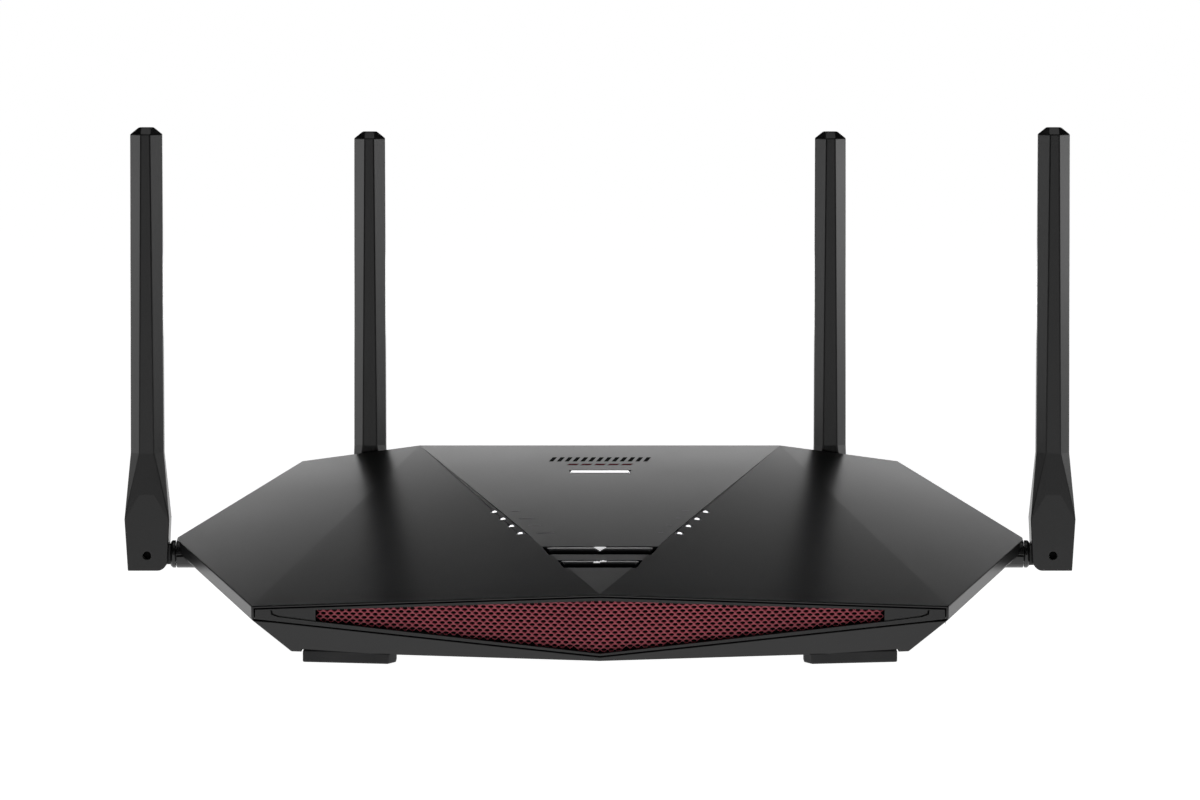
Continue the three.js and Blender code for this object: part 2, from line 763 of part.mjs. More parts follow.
function powerCapSolid(x) {
  const half = powerCap.width / 2 - fitGap;
  const halfZ = powerCap.height / 2;
  const innerY = panelInnerY - 1;
  const cap = block(x - half, x + half, innerY, bodyDepth + powerCap.proud, powerZ - halfZ, powerZ + halfZ);
  const stemHalf = powerCap.stem / 2;
  const stemEnd = powerSwitchRearY - powerStemReach;
  return cap.add(block(x - stemHalf, x + stemHalf, stemEnd, innerY + 1, powerZ - stemHalf, powerZ + stemHalf));
}

function powerSwitchSolid(x) {
  const half = powerCap.width / 2;
  const front = powerSwitchRearY - powerCap.switchDepth;
  const top = partsZ + powerCap.height + 1;
  const shell = block(x - half, x + half, front, powerSwitchRearY, partsZ, top);
  const clear = powerCap.stem / 2 + fitGap;
  const bottomOfStem = powerSwitchRearY - powerStemReach - powerCap.travel - fitGap;
  return shell.subtract(block(x - clear, x + clear, bottomOfStem, powerSwitchRearY + 1, powerZ - clear, powerZ + clear));
}

function powerWindow(x) {
  const half = powerCap.width / 2;
  const halfZ = powerCap.height / 2 + fitGap;
  return block(x - half, x + half, panelInnerY - 5, bodyDepth + 5, powerZ - halfZ, powerZ + halfZ);
}

// The light switch's slider rests at one end of its slot.
const sliderZ = boardTopZ + controlZ;
const lightSwitchRearY = panelInnerY - lightSwitchSetback;

function lightSliderSolid(x) {
  const restX = x - lightSlider.travel / 2;
  const half = lightSlider.width / 2;
  const halfZ = lightSlider.height / 2;
  const plateY = lightSwitchRearY + fitGap;
  const tab = block(restX - half, restX + half, plateY, bodyDepth + lightSlider.proud, sliderZ - halfZ, sliderZ + halfZ);
  const footHalf = half + sliderFoot.overhang;
  const footHalfZ = halfZ + sliderFoot.overhang;
  const footEndY = plateY + sliderFoot.thickness;
  return tab.add(block(restX - footHalf, restX + footHalf, plateY, footEndY, sliderZ - footHalfZ, sliderZ + footHalfZ));
}

function lightSwitchSolid(x) {
  const half = lightSlider.bodyWidth / 2;
  const top = sliderZ + lightSlider.bodyHeight / 2;
  return block(x - half, x + half, lightSwitchRearY - lightSlider.bodyDepth, lightSwitchRearY, partsZ, top);
}

function lightSliderWindow(x) {
  const half = lightSlider.width / 2 + lightSlider.travel / 2 + fitGap;
  const halfZ = lightSlider.height / 2 + fitGap;
  return block(x - half, x + half, panelInnerY - 5, bodyDepth + 5, sliderZ - halfZ, sliderZ + halfZ);
}

// The reset pin sits in a small hole and is pressed with a paper clip.
const resetZ = boardTopZ + controlZ;
const resetEndY = bodyDepth - resetPin.recess;
const resetBodyRearY = resetEndY - resetPin.length - resetPin.travel - fitGap;

function resetPinSolid(x) {
  const shaft = rod(at(x, resetEndY - resetPin.length, resetZ), at(x, resetEndY, resetZ), resetPin.radius, 12);
  const collarStart = at(x, resetEndY - resetPin.length, resetZ);
  const collarEnd = at(x, collarStart.y + resetCollar.length, resetZ);
  return shaft.add(rod(collarStart, collarEnd, resetPin.radius + resetCollar.overhang, 12));
}

function resetSwitchSolid(x) {
  const half = resetPin.bodyWidth / 2;
  const top = resetZ + resetPin.bodyHeight / 2;
  return block(x - half, x + half, resetBodyRearY - resetPin.bodyDepth, resetBodyRearY, partsZ, top);
}

function resetWindow(x) {
  return rod(at(x, panelInnerY - 5, resetZ), at(x, bodyDepth + 5, resetZ), resetPin.radius + fitGap, 12);
}

// ---------------------------------------------------------------------------------------------
// Board, electronics and their mountings
// ---------------------------------------------------------------------------------------------

const boardRearY = panelInnerY - 1;
const pegPlaces = [-1, 1].flatMap((side) => [
  { x: side * (boardHalf - standoffInset), y: boardFrontY + standoffInset },
  { x: side * (boardHalf - standoffInset), y: boardRearY - 3 * standoffInset },
]);

function pegs(radius, z0, z1) {
  return pegPlaces.map((place) => rod(at(place.x, place.y, z0), at(place.x, place.y, z1), radius, 12));
}

function boardSolid() {
  const slab = block(-boardHalf, boardHalf, boardFrontY, boardRearY, boardBottomZ, boardTopZ);
  const trimmed = slab.intersect(housing(wall + 2 * fitGap));
  return pegs(pegHoleRadius, boardBottomZ - 1, boardTopZ + 1).reduce((body, hole) => body.subtract(hole), trimmed);
}

function chip(size) {
  const halfX = size.width / 2;
  const halfY = size.depth / 2;
  return block(size.x - halfX, size.x + halfX, size.y - halfY, size.y + halfY, partsZ, partsZ + size.height);
}

function heatSinkSolid() {
  const baseZ = partsZ + processor.height + fitGap;
  const halfX = heatSink.width / 2;
  const front = processor.y - heatSink.depth / 2;
  const rear = processor.y + heatSink.depth / 2;
  let sink = block(-halfX, halfX, front, rear, baseZ, baseZ + heatSink.base);
  const pitch = (heatSink.width - heatSink.finWidth) / (heatSink.fins - 1);
  for (let index = 0; index < heatSink.fins; index += 1) {
    const left = -halfX + index * pitch;
    const top = baseZ + heatSink.base + heatSink.finHeight;
    sink = sink.add(block(left, left + heatSink.finWidth, front, rear, baseZ + heatSink.base / 2, top));
  }
  return sink;
}

// A thin metal can, open towards the board.
function shieldSolid(side) {
  const x0 = side * shield.x - shield.width / 2;
  const x1 = side * shield.x + shield.width / 2;
  const y0 = shield.y - shield.depth / 2;
  const y1 = shield.y + shield.depth / 2;
  const t = shield.wall;
  const can = block(x0, x1, y0, y1, partsZ, partsZ + shield.height);
  return can.subtract(block(x0 + t, x1 - t, y0 + t, y1 - t, partsZ - 1, partsZ + shield.height - t));
}

// ---------------------------------------------------------------------------------------------
// Feet and screws
// ---------------------------------------------------------------------------------------------

// The front feet follow the housing's swept lower edge.
function footOutline(end, side, grow) {
  if (end === 'front') {
    const edgeY = (x) => (bottomFrontY * x) / bottomFrontHalf + footEdgeInset;
    const corners = [
      [frontFootOuter + grow, edgeY(frontFootOuter) - grow],
      [frontFootInner - grow, edgeY(frontFootInner) - grow],
      [frontFootInner - frontFootTaper - grow, edgeY(frontFootInner) + frontFootTaperDepth],
      [frontFootInner - frontFootTaper - grow, edgeY(frontFootInner) + frontFootDepth + grow],
      [frontFootOuter + grow, edgeY(frontFootOuter) + frontFootDepth + grow],
    ];
    return points2(...corners.map(([x, y]) => [side * x, y]));
  }
  const rear = bodyDepth - rearFootSetback + grow;
  const front = bodyDepth - rearFootSetback - rearFootDepth - grow;
  const inner = rearFootX - rearFootHalfWidth - grow;
  const outerX = rearFootX + rearFootHalfWidth + grow;
  return points2([side * inner, front], [side * outerX, front], [side * outerX, rear], [side * inner, rear]);
}

const footPlaces = [
  { name: 'foot_front_left', end: 'front', side: -1 },
  { name: 'foot_front_right', end: 'front', side: 1 },
  { name: 'foot_rear_left', end: 'rear', side: -1 },
  { name: 'foot_rear_right', end: 'rear', side: 1 },
];

function footSolid(foot) {
  return solid(plate(footOutline(foot.end, foot.side, 0), 0, floorZ + footRecess - fitGap));
}

const screwEndZ = postMeetZ + screwGrip;

const screwPlaces = [-1, 1].flatMap((side) => [
  { name: side < 0 ? 'case_screw_front_left' : 'case_screw_front_right', x: side * screwX, y: screwFrontY },
  { name: side < 0 ? 'case_screw_rear_left' : 'case_screw_rear_right', x: side * screwX, y: bodyDepth - screwRearSetback },
]);

const upright = (place, z0, z1, radius, sides) => rod(at(place.x, place.y, z0), at(place.x, place.y, z1), radius, sides);

function screwSolid(place) {
  const head = upright(place, screwHeadZ, screwHeadZ + screwHeadHeight, screwHeadRadius, 16);
  return head.add(upright(place, screwHeadZ + 1, screwEndZ, screwShaftRadius, 12));
}

// ---------------------------------------------------------------------------------------------
// Covers, bezel, grille and rear panel
// ---------------------------------------------------------------------------------------------

const together = (solids) => solids.reduce((body, next) => body.add(next));
const cutAll = (body, cutters) => cutters.reduce((rest, cutter) => rest.subtract(cutter), body);

const aboveSeam = (body) => body.subtract(beyond(seamDown));
const belowSeam = (body, gap) => body.subtract(beyond(seamUp, gap));
const sideHinges = hinges.slice(0, 2);
const rearHinges = hinges.slice(2);

// The opening behind which the grille sits, pointed at the middle and cut off at both ends.
function grilleOpening(grow) {
  const end = grilleEndHalf + grow;
  return points2(
    [-end, grilleEndLowZ - grow],
    [0, grilleMidLowZ - grow],
    [end, grilleEndLowZ - grow],
    [end, grilleEndHighZ + grow],
    [0, grilleMidHighZ + grow],
    [-end, grilleEndHighZ + grow],
  );
}

const openingPrism = (grow) => solid(wallPlate(grilleOpening(grow), -20, 60));

function bezelSolid() {
  return frontBand(0, bezelThickness, fitGap).subtract(openingPrism(0));
}

// Whether a mesh hole lies fully inside the opening.
function holeFits(x, z) {
  const reach = Math.abs(x) + meshHoleHalfWidth;
  const share = reach / grilleEndHalf;
  const low = grilleMidLowZ + (grilleEndLowZ - grilleMidLowZ) * share;
  const high = grilleMidHighZ + (grilleEndHighZ - grilleMidHighZ) * share;
  const room = meshHoleHalfHeight + meshMargin;
  return share < 1 && z - room > low && z + room < high;
}

function meshHole(x, z) {
  const shape = points2(
    [x - meshHoleHalfWidth, z],
    [x - meshHoleFlatHalf, z - meshHoleHalfHeight],
    [x + meshHoleFlatHalf, z - meshHoleHalfHeight],
    [x + meshHoleHalfWidth, z],
    [x + meshHoleFlatHalf, z + meshHoleHalfHeight],
    [x - meshHoleFlatHalf, z + meshHoleHalfHeight],
  );
  return solid(wallPlate(shape, -20, 60));
}

function grilleSolid() {
  const front = bezelThickness + fitGap;
  const sheet = frontBand(front, front + grilleThickness, fitGap);
  const holes = [];
  const rows = Math.ceil((grilleMidHighZ - grilleMidLowZ) / meshPitchZ);
  const columns = Math.ceil(grilleEndHalf / meshPitchX);
  for (let row = 0; row <= rows; row += 1) {
    const z = grilleMidLowZ + (row + 0.5) * meshPitchZ;
    for (let column = -columns; column <= columns; column += 1) {
      const x = (column + (row % 2) / 2) * meshPitchX;
      if (holeFits(x, z)) {
        holes.push(meshHole(x, z));
      }
    }
  }
  return cutAll(sheet.intersect(openingPrism(grilleBorder)), holes);
}

function topCoverSolid() {
  const posts = together(screwPlaces.map((place) => upright(place, postMeetZ + seamGap, tallest, screwPostRadius, 20)));
  const rooted = aboveSeam(posts).intersect(housing(wall / 2));
  const hanging = posts.intersect(housing(wall + fitGap));
  const sleeves = aboveSeam(together([...sideHinges.map(hingeBoss), tipCorner(-1), tipCorner(1)]));
  const shell = aboveSeam(outer.subtract(cavity)).add(sleeves).add(rooted).add(hanging);
  return cutAll(shell, [
    frontBand(-clearance, bezelThickness + grilleThickness + 3 * fitGap, 0),
    ...buttons.map(buttonPocket),
    ...[-1, 1].flatMap((side) => lightPlaces(side).map((place) => lightHole(place, 0.1))),
    lightBarSlot(0.1),
    ...sideHinges.map(hingeHole),
    ...screwPlaces.map((place) => upright(place, 0, screwEndZ + 1, screwShaftRadius + threadGap, 12)),
  ]);
}

function bottomCoverSolid() {
  const posts = together(screwPlaces.map((place) => upright(place, 0, postMeetZ, screwPostRadius, 20)));
  const standoffs = together(pegs(standoffRadius, 0, boardBottomZ - fitGap));
  const boardPegs = together(pegs(boardPegRadius, floorZ, boardTopZ + 1));
  const supports = posts.add(standoffs).add(boardPegs).intersect(housing(wall / 2));
  const sleeves = belowSeam(together([...sideHinges.map(hingeBoss), tipCorner(-1), tipCorner(1)]), seamGap);
  const shell = belowSeam(outer.subtract(cavity), seamGap).add(supports).add(sleeves);
  const rearOpening = housing(wall, { rear: -5 }).intersect(block(-200, 200, panelInnerY - 1, bodyDepth + 10, -10, 100));
  return cutAll(shell, [
    frontBand(-clearance, bezelThickness + grilleThickness + 3 * fitGap, 0),
    rearOpening,
    ...footPlaces.map((foot) => solid(plate(footOutline(foot.end, foot.side, fitGap), -5, floorZ + footRecess))),
    ...screwPlaces.map((place) => upright(place, -5, screwHeadZ + screwHeadHeight + fitGap, screwSocketRadius, 20)),
    ...screwPlaces.map((place) => upright(place, 0, screwEndZ + 1, screwShaftRadius + fitGap, 12)),
    ...sideHinges.map(hingeHole),
    ...ventSlots(),
  ]);
}

function ventSlots() {
  const slots = [];
  for (const x of ventColumns) {
    for (let row = 0; row < ventRows; row += 1) {
      const y = ventFrontY + row * ventPitch;
      slots.push(block(x - ventLength / 2, x + ventLength / 2, y, y + ventWidth, -5, floorZ + wall + 1));
    }
  }
  return slots;
}

function rearPanelSolid() {
  const margin = wall + fitGap;
  const slab = housing(margin, { rear: 0 }).subtract(housing(-clearance, { rear: rearPanelThickness }));
  const panel = belowSeam(slab, 2 * seamGap).add(together(rearHinges.map(hingeBoss)));
  return cutAll(panel, [
    ...jackNames.map((name) => socketWindow(rj45, rowX[name])),
    socketWindow(usb, rowX.usb_port),
    socketWindow(dcJack, rowX.dc_jack),
    powerWindow(rowX.power),
    lightSliderWindow(rowX.light_slider),
    resetWindow(rowX.reset),
    ...rearHinges.map(hingeHole),
  ]);
}

// ---------------------------------------------------------------------------------------------
// Antenna cables, from the board to each neck
// ---------------------------------------------------------------------------------------------

function cableSolid(points) {
  const path = new THREE.CatmullRomCurve3(points);
  const section = new THREE.Shape();
  for (let index = 0; index < cableSides; index += 1) {
    const angle = (index / cableSides) * 2 * Math.PI;
    const corner = [cableRadius * Math.cos(angle), cableRadius * Math.sin(angle)];
    if (index === 0) {
      section.moveTo(...corner);
    } else {
      section.lineTo(...corner);
    }
  }
  return solid(new THREE.ExtrudeGeometry(section, { extrudePath: path, steps: cableSteps, bevelEnabled: false }));
}

const cableEndZ = boardTopZ + cableRadius + 2 * fitGap;

// A side antenna's cable lands beside its shield, and a rear one's in front of the sockets.
function hingeCable(hinge) {
  const start = alongBarrel(hinge, neckEnd + cableGap);
  const side = Math.sign(hinge.x);
  if (rearHinges.includes(hinge)) {
    return cableSolid([
      start,
      at(hinge.x, start.y - 0.19 * rearCableRun, start.z - 2),
      at(hinge.x, start.y - 0.53 * rearCableRun, cableEndZ + 3),
      at(side * rearCableX, start.y - rearCableRun, cableEndZ),
    ]);
  }
  const end = at(side * (shield.x + shield.width / 2 + cableLanding), start.y - 8, cableEndZ);
  const between = (share, y, z) => at(start.x + (end.x - start.x) * share, y, z);
  return cableSolid([
    start,
    between(0.23, start.y, start.z - 4),
    between(0.6, start.y - 4, cableEndZ + 3),
    end,
  ]);
}

// ---------------------------------------------------------------------------------------------
// The assembly
// ---------------------------------------------------------------------------------------------

const router = new THREE.Group();

router.add(piece('top_cover', topCoverSolid(), housingBlack));
router.add(piece('bottom_cover', bottomCoverSolid(), housingBlack));
router.add(piece('rear_panel', rearPanelSolid(), panelBlack));
router.add(piece('front_bezel', bezelSolid(), bezelBlack));
router.add(piece('front_grille', grilleSolid(), meshRed));

const panel = new THREE.Group();
panel.rotation.x = panelTilt;
panel.position.z = noseTopZ;
router.add(panel);
for (const button of buttons) {
  panel.add(piece(`${button.name}_button`, buttonSolid(button), buttonGrey));
  router.add(piece(`${button.name}_switch`, buttonSwitch(button), chipBlack));
}

router.add(piece('light_bar', lightBar(), lensWhite));
router.add(piece('status_lights_left', lightGuide(-1), lensWhite));
router.add(piece('status_lights_right', lightGuide(1), lensWhite));

router.add(piece('main_board', boardSolid(), boardGreen));
router.add(piece('processor', chip(processor), chipBlack));
router.add(piece('memory_chip', chip(memory), chipBlack));
router.add(piece('heat_sink', heatSinkSolid(), finAluminium));
router.add(piece('radio_shield_left', shieldSolid(-1), steel));
router.add(piece('radio_shield_right', shieldSolid(1), steel));

for (const name of jackNames) {
  const material = name === 'wan_jack' ? socketYellow : socketBlack;
  router.add(piece(name, socket(rj45, rowX[name]), material));
}
router.add(piece('usb_port', socket(usb, rowX.usb_port), steel));
router.add(piece('dc_jack', dcJackSolid(rowX.dc_jack), socketBlack));
router.add(piece('power_button', powerCapSolid(rowX.power), buttonGrey));
router.add(piece('power_switch', powerSwitchSolid(rowX.power), chipBlack));
router.add(piece('light_slider', lightSliderSolid(rowX.light_slider), buttonGrey));
router.add(piece('light_switch', lightSwitchSolid(rowX.light_slider), chipBlack));
router.add(piece('reset_button', resetPinSolid(rowX.reset), buttonGrey));
router.add(piece('reset_switch', resetSwitchSolid(rowX.reset), chipBlack));

for (const foot of footPlaces) {
  router.add(piece(foot.name, footSolid(foot), rubberGrey));
}
for (const place of screwPlaces) {
  router.add(piece(place.name, screwSolid(place), steel));
}
for (const hinge of hinges) {
  router.add(antenna(hinge));
  router.add(piece(hinge.name.replace('antenna', 'cable'), hingeCable(hinge), cableBlack));
}

// Stand the frame's origin under the middle of the bounding box, nose to rear antennas.
const overallDepth = rearHingeY + baseHalf;
const assembly = new THREE.Group();
assembly.add(router);
router.position.y = -overallDepth / 2;

export default assembly;
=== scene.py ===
"""Looks of a wireless router with a faceted housing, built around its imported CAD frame.

Metres, +Z up, front -Y.
"""

import json
import math

import bmesh
import bpy
from mathutils import Matrix, Vector
from mathutils.bvhtree import BVHTree


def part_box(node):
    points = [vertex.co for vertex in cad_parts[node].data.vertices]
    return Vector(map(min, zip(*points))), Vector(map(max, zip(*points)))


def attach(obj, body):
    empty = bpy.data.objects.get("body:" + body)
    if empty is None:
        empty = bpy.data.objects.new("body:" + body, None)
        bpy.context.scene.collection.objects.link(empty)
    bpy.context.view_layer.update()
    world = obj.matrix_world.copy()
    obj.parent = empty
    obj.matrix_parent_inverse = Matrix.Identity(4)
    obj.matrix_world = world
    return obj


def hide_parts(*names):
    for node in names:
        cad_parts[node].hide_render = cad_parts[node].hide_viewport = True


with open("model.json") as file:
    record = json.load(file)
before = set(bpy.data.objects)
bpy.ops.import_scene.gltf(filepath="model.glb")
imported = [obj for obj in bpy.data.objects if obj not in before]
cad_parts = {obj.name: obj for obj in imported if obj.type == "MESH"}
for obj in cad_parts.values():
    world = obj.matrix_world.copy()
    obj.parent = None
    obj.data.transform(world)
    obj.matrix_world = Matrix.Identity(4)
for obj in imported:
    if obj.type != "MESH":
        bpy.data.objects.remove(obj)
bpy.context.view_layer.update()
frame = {"nodes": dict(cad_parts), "record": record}
scene = bpy.context.scene

MM = 0.001

# ---------------------------------------------------------------------------------------------
# Camera, stage and light
# ---------------------------------------------------------------------------------------------

CAMERA_PLACE = (0.0, -2.1909, 0.2257)
CAMERA_PITCH = 0.065166
CAMERA_LENS = 190.17
SENSOR_WIDTH = 36


def make_camera():
    data = bpy.data.cameras.new("camera")
    data.sensor_width = SENSOR_WIDTH
    data.lens = CAMERA_LENS
    data.clip_end = 400
    camera = bpy.data.objects.new("camera", data)
    camera.location = CAMERA_PLACE
    camera.rotation_euler = (math.pi / 2 - CAMERA_PITCH, 0, 0)
    scene.collection.objects.link(camera)
    scene.camera = camera


make_camera()


def area_light(name, place, target, size, power):
    """A rectangular softbox at a place, facing a target. The camera doesn't see it."""
    data = bpy.data.lights.new(name, "AREA")
    data.shape = "RECTANGLE"
    data.size, data.size_y = size
    data.energy = power
    light = bpy.data.objects.new(name, data)
    light.location = place
    light.rotation_euler = (Vector(target) - Vector(place)).to_track_quat("-Z", "Y").to_euler()
    light.visible_camera = False
    scene.collection.objects.link(light)
    return light


def make_world(brightness):
    world = bpy.data.worlds.new("studio")
    world.use_nodes = True
    back = world.node_tree.nodes["Background"]
    back.inputs["Color"].default_value = (1, 1, 1, 1)
    back.inputs["Strength"].default_value = brightness
    scene.world = world


scene.view_settings.view_transform = "Standard"
scene.view_settings.look = "None"
make_world(0.0)

CENTRE = (0, 0, 0.05)
SOFTBOXES = [
    # name, place, target, size in metres, power in watts
    ("rear_strip", (0, 0.2, 0.11), (0, 0, 0.09), (0.62, 0.03), 0.13),
    ("near_left_low", (-0.42, 0.15, 0.05), CENTRE, (0.3, 0.1), 0.054),
    ("near_right_low", (0.42, 0.15, 0.05), CENTRE, (0.3, 0.1), 0.023),
    ("near_left_mid", (-0.42, 0.15, 0.15), CENTRE, (0.3, 0.1), 0.09),
    ("near_right_mid", (0.42, 0.15, 0.15), CENTRE, (0.3, 0.1), 0.165),
    ("overhead", (0, 0, 1.6), CENTRE, (1.6, 1.0), 4),
    ("side_left", (-1.2, 0, 0.25), CENTRE, (0.9, 0.4), 0.41),
    ("side_right", (1.2, 0, 0.25), CENTRE, (0.9, 0.4), 0.86),
]
for softbox in SOFTBOXES:
    area_light(*softbox)

# ---------------------------------------------------------------------------------------------
# Materials
# ---------------------------------------------------------------------------------------------


class Shader:
    """A Principled material and a few helpers for the procedural nodes that feed it."""

    def __init__(self, name, roughness, metallic=0.0, ior=1.5, specular=0.5):
        self.material = bpy.data.materials.new(name)
        self.material.use_nodes = True
        self.tree = self.material.node_tree
        self.out = self.tree.nodes["Principled BSDF"]
        self.out.inputs["Roughness"].default_value = roughness
        self.out.inputs["Metallic"].default_value = metallic
        self.out.inputs["IOR"].default_value = ior
        self.out.inputs["Specular IOR Level"].default_value = specular
        self.place = self.node("ShaderNodeTexCoord").outputs["Object"]

    def node(self, kind, **values):
        made = self.tree.nodes.new(kind)
        for name, value in values.items():
            setattr(made, name, value)
        return made

    def join(self, source, target):
        self.tree.links.new(source, target)

    def noise(self, scale, detail=2.0, stretch=(1, 1, 1)):
        """A noise pattern with that many cells to the metre."""
        mapping = self.node("ShaderNodeMapping")
        mapping.inputs["Scale"].default_value = stretch
        texture = self.node("ShaderNodeTexNoise")
        texture.inputs["Scale"].default_value = scale
        texture.inputs["Detail"].default_value = detail
        self.join(self.place, mapping.inputs["Vector"])
        self.join(mapping.outputs["Vector"], texture.inputs["Vector"])
        return texture.outputs["Fac"]

    def spread(self, pattern, low, high):
        """The pattern stretched to run from low to high."""
        ramp = self.node("ShaderNodeMapRange")
        ramp.inputs["From Min"].default_value = 0.3
        ramp.inputs["From Max"].default_value = 0.7
        ramp.inputs["To Min"].default_value = low
        ramp.inputs["To Max"].default_value = high
        self.join(pattern, ramp.inputs["Value"])
        return ramp.outputs["Result"]

    def colour(self, pattern, dark, light):
        mix = self.node("ShaderNodeMix", data_type="RGBA")
        mix.inputs["A"].default_value = (*dark, 1)
        mix.inputs["B"].default_value = (*light, 1)
        self.join(self.spread(pattern, 0, 1), mix.inputs["Factor"])
        self.join(mix.outputs["Result"], self.out.inputs["Base Color"])

    def roughness(self, pattern, low, high):
        self.join(self.spread(pattern, low, high), self.out.inputs["Roughness"])

    def bump(self, pattern, height, strength=1.0):
        bump = self.node("ShaderNodeBump")
        bump.inputs["Strength"].default_value = strength
        bump.inputs["Distance"].default_value = height
        self.join(pattern, bump.inputs["Height"])
        self.join(bump.outputs["Normal"], self.out.inputs["Normal"])


def plastic(name, dark, light, roughness, grain=1800, depth=0.00002, specular=0.5):
    """Moulded plastic: a fine sparked grain, with slow changes of gloss and shade."""
    shader = Shader(name, roughness, specular=specular)
    shader.colour(shader.noise(60, 3), dark, light)
    shader.roughness(shader.noise(25, 1), roughness - 0.01, roughness + 0.01)
    shader.bump(shader.noise(grain, 2), depth)
    return shader.material


def grey(level):
    return (level, level, level * 1.03)


def glowing_plastic(name, strength):
    """White plastic that glows: on a light window the glow stands for its lamp, on a printed mark it is a
    painted glow.
    """
    material = plastic(name, grey(0.8), grey(0.85), 0.4)
    sockets = material.node_tree.nodes["Principled BSDF"].inputs
    sockets["Emission Color"].default_value = (1, 1, 1, 1)
    sockets["Emission Strength"].default_value = strength
    return material


MATERIALS = {
    "housing": plastic("housing_plastic", grey(0.007), grey(0.009), 0.3),
    "bezel": plastic("bezel_plastic", grey(0.009), grey(0.012), 0.3),
    "panel": plastic("panel_plastic", grey(0.009), grey(0.012), 0.3),
    "antenna": plastic("antenna_plastic", grey(0.006), grey(0.008), 0.3),
    "button": plastic("button_plastic", grey(0.03), grey(0.035), 0.3),
    "rubber": plastic("foot_rubber", grey(0.02), grey(0.03), 0.8),
    "lens": plastic("lens_plastic", grey(0.8), grey(0.85), 0.3),
    "board": plastic("solder_mask", (0.01, 0.06, 0.03), (0.015, 0.08, 0.04), 0.4),
    "chip": plastic("chip_package", grey(0.01), grey(0.013), 0.5),
    "socket": plastic("socket_plastic", grey(0.01), grey(0.013), 0.45),
    "wan_socket": plastic("wan_socket_plastic", (0.6, 0.38, 0.02), (0.66, 0.43, 0.03), 0.45),
    "cable": plastic("cable_sheath", grey(0.01), grey(0.013), 0.5),
    "grille": plastic("grille_coating", (0.34, 0.055, 0.08), (0.4, 0.065, 0.09), 0.3),
    "steel": plastic("plated_steel", grey(0.5), grey(0.56), 0.3),
    "aluminium": plastic("fin_aluminium", grey(0.6), grey(0.64), 0.4),
}
PRINT_BLACK = plastic("print_black", grey(0.002), grey(0.003), 0.9, specular=0.05)
PRINT_RED = plastic("print_red", (0.1, 0.006, 0.012), (0.12, 0.008, 0.014), 0.85, specular=0.1)
# Painted shade: a matte black for pieces that stand in for the shade in holes, gaps and pockets.
SHADE_BLACK = plastic("painted_shade_black", grey(0.002), grey(0.003), 0.8, specular=0.1)
# Printed white marks glow a little: a painted highlight, not a lamp.
GLOWING_PRINT_WHITE = glowing_plastic("print_white_painted_glow", 0.5)
PRINT_GREY = plastic("print_grey", grey(0.2), grey(0.22), 0.6)
LIT_WHITE = glowing_plastic("lit_white", 1.5)
GOLD = plastic("contact_gold", (0.75, 0.5, 0.2), (0.8, 0.55, 0.22), 0.3)
USB_BLUE = plastic("usb_tongue_blue", (0.01, 0.06, 0.4), (0.015, 0.08, 0.45), 0.4)
LIGHT_GREEN = plastic("light_window_green", (0.1, 0.25, 0.08), (0.12, 0.28, 0.1), 0.3)
LIGHT_AMBER = plastic("light_window_amber", (0.45, 0.2, 0.04), (0.5, 0.23, 0.05), 0.3)
SLOT_OF = {row["node"]: row["material_slot"] for row in frame["record"]["subparts"]}
BODY_OF = {node: body for body, nodes in frame["record"]["behaviour"]["bodies"].items() for node in nodes}

# The antenna pins are painted shade black, so their ends read as dark holes.
for node, obj in frame["nodes"].items():
    obj.data.materials.clear()
    obj.data.materials.append(SHADE_BLACK if node.startswith("antenna_") and node.endswith("_pin")
                              else MATERIALS[SLOT_OF[node]])

# ---------------------------------------------------------------------------------------------
# Mesh helpers
# ---------------------------------------------------------------------------------------------


def finished(name, work, slot, body, materials=None):
    """A new piece from a bmesh, in its materials, on its body."""
    mesh = bpy.data.meshes.new(name)
    work.to_mesh(mesh)
    work.free()
    for material in materials or [MATERIALS[slot]]:
        mesh.materials.append(material)
    piece = bpy.data.objects.new(name, mesh)
    scene.collection.objects.link(piece)
    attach(piece, body)
    return piece


def add_box(work, low, high, matrix=Matrix(), round_off=0.0, slant=0.0, material=0):
    """A box between two corners, with rounded edges and its top slid sideways by a slant."""
    made = bmesh.ops.create_cube(work, size=1.0)
    verts = made["verts"]
    low, high = Vector(low), Vector(high)
    for vert in verts:
        part = vert.co + Vector((0.5, 0.5, 0.5))
        spot = Vector(low[i] + (high[i] - low[i]) * part[i] for i in range(3))
        spot.x += slant * part.y
        vert.co = matrix @ spot
    faces = {face for vert in verts for face in vert.link_faces}
    if round_off:
        edges = list({edge for face in faces for edge in face.edges})
        made = bmesh.ops.bevel(work, geom=edges, offset=round_off, segments=2, profile=0.5, affect="EDGES",
                               clamp_overlap=True)
        faces |= set(made["faces"])
    for face in faces:
        if face.is_valid:
            face.material_index = material
            face.smooth = True


def add_turned(work, profile, matrix, steps=32, material=0):
    """A solid turned about the matrix's z from (radius, height) points that start and end on the axis."""
    rings = []
    for radius, height in profile:
        if radius == 0:
            rings.append([work.verts.new(matrix @ Vector((0, 0, height)))])
        else:
            angles = [2 * math.pi * i / steps for i in range(steps)]
            points = [Vector((radius * math.cos(a), radius * math.sin(a), height)) for a in angles]
            rings.append([work.verts.new(matrix @ point) for point in points])
    for lower, upper in zip(rings, rings[1:]):
        for i in range(steps):
            j = (i + 1) % steps
            below = [lower[i % len(lower)], lower[j % len(lower)]]
            over = [upper[j % len(upper)], upper[i % len(upper)]]
            corners = list(dict.fromkeys(below + over))
            face = work.faces.new(corners)
            face.smooth = True
            face.material_index = material


